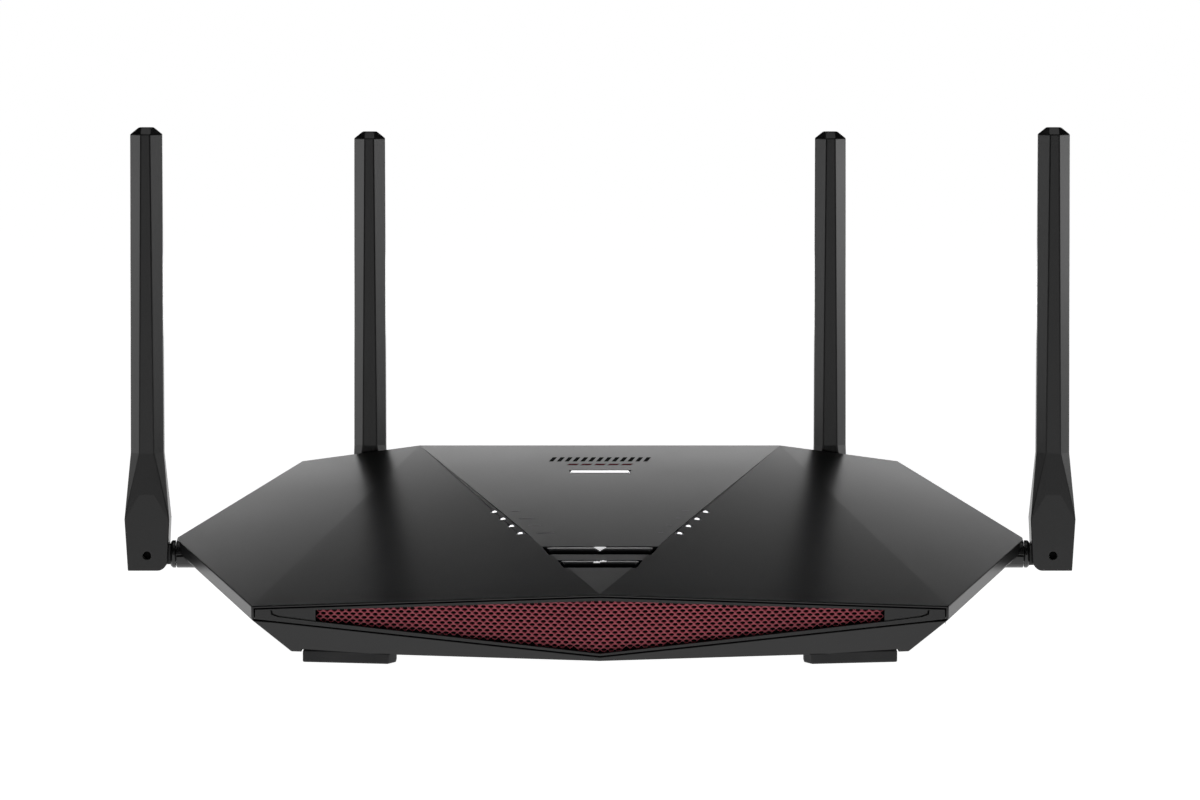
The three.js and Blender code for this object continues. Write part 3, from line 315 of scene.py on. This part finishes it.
def carve(mesh, cutter):
    """The mesh with a bmesh's solids cut out of it."""
    tool_mesh = bpy.data.meshes.new("cutter")
    bmesh.ops.recalc_face_normals(cutter, faces=cutter.faces)
    cutter.to_mesh(tool_mesh)
    cutter.free()
    tool = bpy.data.objects.new("cutter", tool_mesh)
    body = bpy.data.objects.new("carved", mesh)
    for obj in (tool, body):
        scene.collection.objects.link(obj)
    cut = body.modifiers.new("cut", "BOOLEAN")
    cut.object = tool
    cut.solver = "EXACT"
    cut.use_self = True
    evaluated = body.evaluated_get(bpy.context.evaluated_depsgraph_get())
    carved = bpy.data.meshes.new_from_object(evaluated)
    for obj in (tool, body):
        bpy.data.objects.remove(obj)
    return carved


# ---------------------------------------------------------------------------------------------
# Moulded pieces: CAD shapes with their flat faces whole and their outward edges rounded
# ---------------------------------------------------------------------------------------------


def refined(node, radius, smallest_angle=15, cutter=None, shortest=0.5 * MM, segments=3):
    """A copy of a CAD node with its outward edges rounded, which stands for the node."""
    mesh = frame["nodes"][node].data.copy()
    work = bmesh.new()
    work.from_mesh(mesh)
    bmesh.ops.remove_doubles(work, verts=work.verts, dist=0.03 * MM)
    if cutter:
        work.to_mesh(mesh)
        work.clear()
        work.from_mesh(carve(mesh, cutter))
        bmesh.ops.remove_doubles(work, verts=work.verts, dist=0.01 * MM)
    bmesh.ops.dissolve_limit(work, angle_limit=math.radians(0.4), verts=work.verts, edges=work.edges)
    limit = math.radians(smallest_angle)
    edges = [e for e in work.edges
             if e.is_manifold and e.calc_face_angle_signed() > limit and e.calc_length() > shortest]
    for face in work.faces:
        face.material_index = 0
    bmesh.ops.bevel(work, geom=edges, offset=radius, segments=segments, profile=0.5, affect="EDGES",
                    clamp_overlap=False, material=1)
    for face in work.faces:
        face.smooth = face.material_index == 1
        face.material_index = 0
    for edge in work.edges:
        edge.smooth = edge.calc_face_angle(0) < math.radians(40)
    piece = finished(node + "_detailed", work, SLOT_OF[node], BODY_OF[node])
    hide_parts(node)
    return piece


# ---------------------------------------------------------------------------------------------
# Places on the housing, read from the frame. Millimetres: x across, y back from the nose, z up
# ---------------------------------------------------------------------------------------------

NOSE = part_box("front_bezel")[0].y


def tree_of(node):
    mesh = frame["nodes"][node].data
    return BVHTree.FromPolygons([v.co for v in mesh.vertices], [p.vertices for p in mesh.polygons])


TOP = tree_of("top_cover")


def on_top(x, y):
    """The point of the top cover's outside above a place, in metres."""
    return TOP.ray_cast(Vector((x * MM, NOSE + y * MM, 1)), Vector((0, 0, -1)))[0]


FACET_LOW = on_top(0, 15)
FACET_HIGH = on_top(0, 130)
FACET_TILT = math.atan2(FACET_HIGH.z - FACET_LOW.z, FACET_HIGH.y - FACET_LOW.y)
NOSE_TOP = FACET_LOW.z - 15 * MM * math.tan(FACET_TILT)
# The middle facet's own frame, in millimetres: x across, y up the slope from the nose, z out of it
FACET = Matrix.Translation((0, NOSE, NOSE_TOP)) @ Matrix.Rotation(FACET_TILT, 4, "X") @ Matrix.Scale(MM, 4)


def up_slope(y):
    return y / math.cos(FACET_TILT)


# ---------------------------------------------------------------------------------------------
# Front: bezel with its groove, and the fine grille behind it
# ---------------------------------------------------------------------------------------------

FRONT_CORNER = Vector((116.8, 26.2))
FRONT_SWEEP = FRONT_CORNER.y / FRONT_CORNER.x
GRILLE_END = 95.1
GRILLE_END_LOW, GRILLE_END_HIGH = 13.9, 17.7
GRILLE_MID_LOW, GRILLE_MID_HIGH = 5.3, 22.8
GRILLE_SET_BACK = 2.1
GROOVE_WIDTH = 0.6
GROOVE_DEPTH = 1.1


def groove_cutter():
    """The thin groove from a small hook at each end of the bezel to the grille's lower corner."""
    work = bmesh.new()
    for side in (-1, 1):
        line = [(110.0, 17.3), (109.7, 16.2), (107.8, 15.45), (GRILLE_END - 0.6, GRILLE_END_LOW + 0.1)]
        half = GROOVE_WIDTH / 2
        (x0, z0), (x1, z1), (x2, z2), (x3, z3) = line
        upper = [(x0 + half, z0), (x1 + half, z1 - half), (x2, z2 - half), (x3, z3 - half)]
        lower = [(x0 - half, z0), (x1 - half, z1 + half), (x2, z2 + half), (x3, z3 + half)]
        outline = upper + lower[::-1]
        front = [work.verts.new((side * x * MM, NOSE + (FRONT_SWEEP * x - 2) * MM, z * MM))
                 for x, z in outline]
        back = [work.verts.new((side * x * MM, NOSE + (FRONT_SWEEP * x + GROOVE_DEPTH) * MM, z * MM))
                for x, z in outline]
        work.faces.new(front)
        work.faces.new(back[::-1])
        for i in range(len(outline)):
            j = (i + 1) % len(outline)
            work.faces.new((front[i], front[j], back[j], back[i]))
    bmesh.ops.triangulate(work, faces=[f for f in work.faces if len(f.verts) > 4])
    return work


MESH_PITCH_X = 2.5
MESH_PITCH_Z = 1.13
HOLE_HALF = 0.96
HOLE_HALF_HEIGHT = 0.43
WIRE_CROWN = 0.12
SHADE_SHEET_SET_BACK = 0.8


def in_opening(x, z, room):
    share = (abs(x) + room) / GRILLE_END
    low = GRILLE_MID_LOW + (GRILLE_END_LOW - GRILLE_MID_LOW) * share
    high = GRILLE_MID_HIGH + (GRILLE_END_HIGH - GRILLE_MID_HIGH) * share
    return share < 1 and low + room < z < high + 0.6


def make_grille():
    """Expanded metal: staggered lens-shaped holes between ridged wires, over a black sheet of painted
    shade.
    """
    rim = [(1, 0), (0.5, 0.5), (0, 1), (-0.5, 0.5), (-1, 0), (-0.5, -0.5), (0, -1), (0.5, -0.5)]
    lens = [(1, 0), (0.52, 0.86), (0, 1), (-0.52, 0.86), (-1, 0), (-0.52, -0.86), (0, -1), (0.52, -0.86)]
    work = bmesh.new()

    def vertex(x, z, out):
        return work.verts.new((x * MM, NOSE + (FRONT_SWEEP * abs(x) + GRILLE_SET_BACK - out) * MM, z * MM))

    rows = int((GRILLE_MID_HIGH - GRILLE_MID_LOW) / MESH_PITCH_Z) + 2
    columns = int(GRILLE_END / MESH_PITCH_X) + 1
    for row in range(-1, rows):
        z = GRILLE_MID_LOW + row * MESH_PITCH_Z
        for column in range(-columns, columns + 1):
            x = (column + (row % 2) / 2) * MESH_PITCH_X
            if not in_opening(x, z, 0.35):
                continue
            outer = [vertex(x + a * MESH_PITCH_X / 2, z + b * MESH_PITCH_Z, WIRE_CROWN) for a, b in rim]
            middle = [vertex(x + (a * MESH_PITCH_X / 2 + c * HOLE_HALF) / 2,
                             z + (b * MESH_PITCH_Z + d * HOLE_HALF_HEIGHT) / 2, WIRE_CROWN * 0.7)
                      for (a, b), (c, d) in zip(rim, lens)]
            inner = [vertex(x + c * HOLE_HALF, z + d * HOLE_HALF_HEIGHT, 0) for c, d in lens]
            deep = [vertex(x + c * HOLE_HALF, z + d * HOLE_HALF_HEIGHT, -0.3) for c, d in lens]
            for rings in ((outer, middle), (middle, inner), (inner, deep)):
                for i in range(8):
                    j = (i + 1) % 8
                    face = work.faces.new((rings[0][i], rings[0][j], rings[1][j], rings[1][i]))
                    face.smooth = True
    # A black sheet behind the wires: painted shade for the dark inside of the housing, seen through the
    # holes.
    for side in (-1, 1):
        ends = ((0, GRILLE_MID_LOW), (GRILLE_END, GRILLE_END_LOW),
                (GRILLE_END, GRILLE_END_HIGH), (0, GRILLE_MID_HIGH))
        work.faces.new([vertex(side * x, z, -SHADE_SHEET_SET_BACK) for x, z in ends]).material_index = 1
    bmesh.ops.remove_doubles(work, verts=work.verts, dist=0.01 * MM)
    bmesh.ops.recalc_face_normals(work, faces=work.faces)
    grille = finished("front_grille_mesh", work, "grille", "housing", [MATERIALS["grille"], SHADE_BLACK])
    sheet = grille.modifiers.new("sheet", "SOLIDIFY")
    sheet.thickness = 0.25 * MM
    sheet.offset = -1
    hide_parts("front_grille")


make_grille()
refined("front_bezel", 0.12 * MM, cutter=groove_cutter())
refined("top_cover", 0.35 * MM)
refined("bottom_cover", 0.3 * MM)
refined("rear_panel", 0.3 * MM)

# ---------------------------------------------------------------------------------------------
# Top: buttons, lights and marks
# ---------------------------------------------------------------------------------------------


def in_facet(x, y, z=0.0):
    """A point in the middle facet's frame, from millimetres back along the table."""
    return FACET @ Vector((x, up_slope(y), z))


# The cap's section from front to rear: a share of its depth, and a height
CAP_PROFILE = [
    (0.0, -2.6), (0.02, -0.9), (0.05, -0.2), (0.14, 0.16), (0.4, 0.3),
    (0.62, 0.24), (0.8, 0.08), (0.93, -0.18), (0.99, -0.6), (1.0, -2.6),
]
# The drop towards its two ends: a share of its half width, and a fall
CAP_ENDS = [
    (-1, -2.6), (-0.995, -0.8), (-0.985, -0.2), (-0.96, 0), (-0.5, 0), (0, 0),
    (0.5, 0), (0.96, 0), (0.985, -0.2), (0.995, -0.8), (1, -2.6),
]
CAP_DEPTH = -2.6
STEM_ROOM = 0.9         # the stem stops this far above the CAD stem's end
BUTTON_SHAPES = {
    "wifi": {"front": 50.4, "rear": 56.9, "front_half": 16.9, "rear_half": 18.6},
    "wps": {"front": 34.6, "rear": 40.5, "front_half": 12.0, "rear_half": 13.6},
}


def make_button(name, shape):
    """A crowned cap that falls away to the rear, its front and ends painted black as shade, over a flange
    of painted shade that fills its pocket.
    """
    work = bmesh.new()
    rows = []
    for share, height in CAP_PROFILE:
        y = shape["front"] + (shape["rear"] - shape["front"]) * share
        half = shape["front_half"] + (shape["rear_half"] - shape["front_half"]) * share
        spots = [in_facet(half * a, y, max(height + drop, CAP_DEPTH)) for a, drop in CAP_ENDS]
        rows.append([work.verts.new(spot) for spot in spots])
    for row, (lower, upper) in enumerate(zip(rows, rows[1:])):
        for i in range(len(lower) - 1):
            face = work.faces.new((lower[i], lower[i + 1], upper[i + 1], upper[i]))
            face.smooth = True
            # The front rows and both ends of the cap are painted shade black, for the dark gap around it.
            face.material_index = int(row < 3 or i < 2 or i > len(lower) - 4)
    rim = [row[0] for row in rows] + rows[-1][1:-1] + [row[-1] for row in rows[::-1]] + rows[0][-2:0:-1]
    work.faces.new(rim[::-1])
    bmesh.ops.remove_doubles(work, verts=work.verts, dist=0.01 * MM)
    bmesh.ops.recalc_face_normals(work, faces=work.faces)
    body = name + "_button"
    cap = finished(body + "_cap", work, "button", body, [MATERIALS["button"], SHADE_BLACK])
    cap.modifiers.new("round", "SUBSURF").render_levels = 2
    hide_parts(body)
    flange = bmesh.new()
    middle = (shape["front"] + shape["rear"]) / 2
    reach = up_slope(shape["rear"] - shape["front"] + 4.6)
    add_box(flange, (-shape["rear_half"] - 1.2, 0, -3.6), (shape["rear_half"] + 1.2, reach, -2.55),
            Matrix.Translation(in_facet(0, shape["front"] - 3.2)) @ Matrix.Rotation(FACET_TILT, 4, "X")
            @ Matrix.Scale(MM, 4), 0.2)
    stem_end = (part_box(body)[0].z - in_facet(0, middle).z) / MM + STEM_ROOM
    add_turned(flange, [(0, stem_end), (1.8, stem_end), (1.8, -3.5), (0, -3.5)],
               FACET @ Matrix.Translation((0, up_slope(middle), 0)), 24)
    # The flange is painted shade black: it stands for the shade down in the pocket.
    finished(body + "_flange", flange, "housing", body, [SHADE_BLACK])


def add_prism(work, outline, thickness, lift=0.02, material=0, place=on_top):
    """A thin flat mark on the housing's top. Its outline is given in x and y from the nose."""
    tops = [place(x, y) + Vector((0, 0, lift * MM)) for x, y in outline]
    upper = [work.verts.new(point) for point in tops]
    lower = [work.verts.new(point - Vector((0, 0, thickness * MM))) for point in tops]
    work.faces.new(upper).material_index = material
    work.faces.new(lower[::-1]).material_index = material
    for i in range(len(outline)):
        j = (i + 1) % len(outline)
        work.faces.new((upper[j], upper[i], lower[i], lower[j])).material_index = material


def slanted(x, y, width, depth, slant):
    half, deep = width / 2, depth / 2
    return [(x - half - slant, y - deep), (x + half - slant, y - deep), (x + half + slant, y + deep),
            (x - half + slant, y + deep)]


def make_marks():
    """A plain row of slanted bars and a thin red line under it stand where a name would be."""
    bars = bmesh.new()
    for index in range(13):
        add_prism(bars, slanted(-16.8 + 2.8 * index, 168.6, 1.5, 5.6, 0.7), 0.08)
    finished("slanted_bars", bars, None, "housing", [PRINT_BLACK])
    line = bmesh.new()
    for index in range(5):
        add_prism(line, slanted(-9.6 + 4.8 * index, 161.8, 3.6, 2.0, 0.5), 0.08)
    finished("red_dashes", line, None, "housing", [PRINT_RED])


LIGHT_FIRST = 74.1
LIGHT_PITCH = 8.97
LIGHTS_PER_SIDE = 4
LIGHT_FROM_RIDGE = 1.7
LIGHT_HOLE_REACH = 1.9
DASH_FROM_RIDGE = 4.0
LIGHT_PLACES = [(side, LIGHT_FIRST + LIGHT_PITCH * index) for side in (-1, 1)
                for index in range(LIGHTS_PER_SIDE)]
RIDGE_SLOPE = 64.9 / 188
LIGHT_BAR = {"half": 10.5, "y": 152.3, "half_depth": 1.5}
DASH_LENGTHS = {-1: (6, 4.4, 5, 3), 1: (1.6, 2, 1.6, 2.4)}


def make_lights():
    """The lit windows of the status lights and of the light bar, and a faint dash beside each light."""
    dashes = bmesh.new()
    for number, (side, y) in enumerate(LIGHT_PLACES):
        x = side * (RIDGE_SLOPE * y + LIGHT_FROM_RIDGE)

        def over_hole(x, y_here, y=y):
            front, rear = on_top(x, y - LIGHT_HOLE_REACH), on_top(x, y + LIGHT_HOLE_REACH)
            return front.lerp(rear, (y_here - y + LIGHT_HOLE_REACH) / (2 * LIGHT_HOLE_REACH))

        window = bmesh.new()
        outline = [(x - 0.95, y - 0.9), (x + 0.95, y - 0.9), (x + 0.3, y + 0.8), (x - 0.3, y + 0.8)]
        add_prism(window, outline, 1.0, 0.03, place=over_hole)
        finished(f"status_light_window_{number + 1}", window, "lens", "housing", [LIT_WHITE])
        length = DASH_LENGTHS[side][number % LIGHTS_PER_SIDE]
        start = side * (RIDGE_SLOPE * y - DASH_FROM_RIDGE)
        left, right = sorted((start, start - side * length))
        add_prism(dashes, [(left, y - 0.6), (right, y - 0.6), (right, y + 0.6), (left, y + 0.6)], 0.08)
    finished("status_dashes", dashes, None, "housing", [PRINT_GREY])
    bar = bmesh.new()
    middle = up_slope(LIGHT_BAR["y"])
    add_box(bar, (-LIGHT_BAR["half"], middle - LIGHT_BAR["half_depth"], -1.2),
            (LIGHT_BAR["half"], middle + LIGHT_BAR["half_depth"], 0.1), FACET, 0.15)
    finished("light_bar_window", bar, "lens", "housing", [LIT_WHITE])


def make_icons():
    """Small white marks on the caps, with a painted glow: a fan of bars over a dot, and a pair of slanted
    arrows.
    """
    def on_cap(x, y):
        return in_facet(x, y, 0.5)

    fan = bmesh.new()
    for y, half in ((51.6, 0.35), (52.5, 0.9), (53.5, 1.5), (54.5, 2.1)):
        outline = [(-half, y - 0.2), (half, y - 0.2), (half * 0.8, y + 0.3), (-half * 0.8, y + 0.3)]
        add_prism(fan, outline, 0.6, 0.02, place=on_cap)
    finished("wifi_button_icon", fan, None, "wifi_button", [GLOWING_PRINT_WHITE])
    arrows = bmesh.new()
    for x, y in ((-1.1, 36.9), (1.1, 38.0)):
        shaft = [(x - 1.1, y - 0.5), (x + 1.1, y - 0.5), (x + 1.1, y), (x - 1.1, y)]
        add_prism(arrows, shaft, 0.6, 0.02, place=on_cap)
        add_prism(arrows, [(x - 0.4, y + 0.2), (x + 0.4, y + 0.2), (x, y + 0.8)], 0.6, 0.02, place=on_cap)
    finished("wps_button_icon", arrows, None, "wps_button", [GLOWING_PRINT_WHITE])


for name, shape in BUTTON_SHAPES.items():
    make_button(name, shape)
make_marks()
make_lights()
make_icons()

# ---------------------------------------------------------------------------------------------
# Antennas
# ---------------------------------------------------------------------------------------------

for hinge in ("side_left", "side_right", "rear_left", "rear_right"):
    refined(f"antenna_{hinge}_blade", 0.3 * MM, smallest_angle=12)
    refined(f"antenna_{hinge}_knuckle", 0.25 * MM, smallest_angle=20)

# ---------------------------------------------------------------------------------------------
# Feet and screws
# ---------------------------------------------------------------------------------------------


def make_screw(node):
    """A case screw with a cross recess in its domed head."""
    low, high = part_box(node)
    centre = (low + high) / 2
    radius = (high.x - low.x) / 2 / MM
    place = Matrix.Translation((centre.x, centre.y, low.z)) @ Matrix.Scale(MM, 4)
    cutter = bmesh.new()
    for size in ((radius * 1.2, 0.7), (0.7, radius * 1.2)):
        add_box(cutter, (-size[0] / 2, -size[1] / 2, -0.5), (size[0] / 2, size[1] / 2, 0.9), place)
    refined(node, 0.35 * MM, 25, cutter)


for end in ("front", "rear"):
    for side in ("left", "right"):
        refined(f"foot_{end}_{side}", 0.5 * MM)
        make_screw(f"case_screw_{end}_{side}")

# ---------------------------------------------------------------------------------------------
# Rear sockets and controls
# ---------------------------------------------------------------------------------------------

JACK_SILL = 2.4
JACK_MOUTH_HEIGHT = 8.6


def make_jack(node):
    """A network socket with its latch notch, its light windows and eight sprung contacts."""
    low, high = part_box(node)
    x = (low.x + high.x) / 2 / MM
    rear = high.y / MM
    top = low.z / MM + JACK_SILL + JACK_MOUTH_HEIGHT
    place = Matrix.Scale(MM, 4)
    cutter = bmesh.new()
    add_box(cutter, (x - 3.2, rear - 9, top - 1), (x + 3.2, rear + 1, top + 0.9), place)
    add_box(cutter, (x - 1.7, rear - 9, top - 1), (x + 1.7, rear + 1, top + 1.7), place)
    refined(node, 0.25 * MM, 25, cutter)
    contacts = bmesh.new()
    for index in range(8):
        wire = x + (index - 3.5) * 1.02
        bottom = low.z / MM + JACK_SILL
        tilt = Matrix.Translation((wire * MM, (rear - 2.2) * MM, (bottom + 0.35) * MM))
        tilt = tilt @ Matrix.Rotation(math.radians(-24), 4, "X") @ Matrix.Scale(MM, 4)
        add_box(contacts, (-0.18, -8.5, -0.15), (0.18, 0, 0.15), tilt, 0.06)
    finished(node + "_contacts", contacts, None, "housing", [GOLD])
    lights = bmesh.new()
    for side, colour in ((-1, 0), (1, 1)):
        centre = x + side * 5.9
        add_box(lights, (centre - 1.1, rear - 0.4, top + 0.55), (centre + 1.1, rear + 0.12, top + 1.75),
                place, 0.12, material=colour)
    finished(node + "_lights", lights, None, "housing", [LIGHT_GREEN, LIGHT_AMBER])


def make_usb():
    """The USB port's spring windows, its tongue and its four contacts."""
    low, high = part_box("usb_port")
    x, rear = (low.x + high.x) / 2 / MM, high.y / MM
    bottom = low.z / MM + 1
    place = Matrix.Scale(MM, 4)
    cutter = bmesh.new()
    for side in (-1, 1):
        window = x + side * 3
        add_box(cutter, (window - 1, rear - 6, bottom + 5), (window + 1, rear - 3, bottom + 9), place)
    refined("usb_port", 0.3 * MM, 25, cutter)
    tongue = bmesh.new()
    add_box(tongue, (x - 5.6, rear - 12, bottom + 3.1), (x + 5.6, rear - 1.2, bottom + 4.9), place, 0.2)
    finished("usb_tongue", tongue, None, "housing", [USB_BLUE])
    pads = bmesh.new()
    for offset in (-3.5, -1.0, 1.0, 3.5):
        pad = x + offset
        add_box(pads, (pad - 0.55, rear - 9, bottom + 2.98), (pad + 0.55, rear - 2, bottom + 3.2),
                place, 0.06)
    finished("usb_contacts", pads, None, "housing", [GOLD])


def make_power_pin():
    """The power inlet with its round pin."""
    low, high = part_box("dc_jack")
    centre = (low + high) / 2
    axis = Matrix.Translation((centre.x, high.y - 9 * MM, centre.z)) @ Matrix.Rotation(-math.pi / 2, 4, "X")
    pin = bmesh.new()
    add_turned(pin, [(0, 0), (1.15, 0), (1.15, 4.6), (1.05, 5.1), (0.8, 5.5), (0.45, 5.7), (0, 5.75)],
               axis @ Matrix.Scale(MM, 4), 24)
    finished("dc_jack_pin", pin, "steel", "housing")
    refined("dc_jack", 0.25 * MM, 25)


def make_slider():
    """The light slider has finger ridges across its tab."""
    low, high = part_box("light_slider")
    refined("light_slider", 0.2 * MM, 25)
    ridges = bmesh.new()
    middle = (low + high) / 2 / MM
    for offset in (-0.9, -0.3, 0.3, 0.9):
        add_box(ridges, (middle.x + offset - 0.14, high.y / MM - 0.1, middle.z - 1.1),
                (middle.x + offset + 0.14, high.y / MM, middle.z + 1.1), Matrix.Scale(MM, 4), 0.04)
    finished("light_slider_ridges", ridges, "button", "light_slider")


for node in ("lan_jack_1", "lan_jack_2", "lan_jack_3", "lan_jack_4", "wan_jack"):
    make_jack(node)
make_usb()
make_power_pin()
make_slider()
refined("power_button", 0.7 * MM, 25)

# ---------------------------------------------------------------------------------------------
# The studio floor
# ---------------------------------------------------------------------------------------------

FLOOR_SIZE = 400
FLOOR_GLOW = 1.0


def make_floor():
    """A white sheet that is lit from behind."""
    bpy.ops.mesh.primitive_plane_add(size=FLOOR_SIZE, location=(0, 0, 0))
    floor = bpy.context.object
    floor.name = "studio_floor"
    shader = Shader("floor_paper", 0.9)
    shader.colour(shader.noise(3, 2), (0.5, 0.5, 0.5), (0.52, 0.52, 0.52))
    shader.out.inputs["Emission Color"].default_value = (1, 1, 1, 1)
    shader.out.inputs["Emission Strength"].default_value = FLOOR_GLOW
    shader.out.inputs["Specular IOR Level"].default_value = 0
    floor.data.materials.append(shader.material)


make_floor()
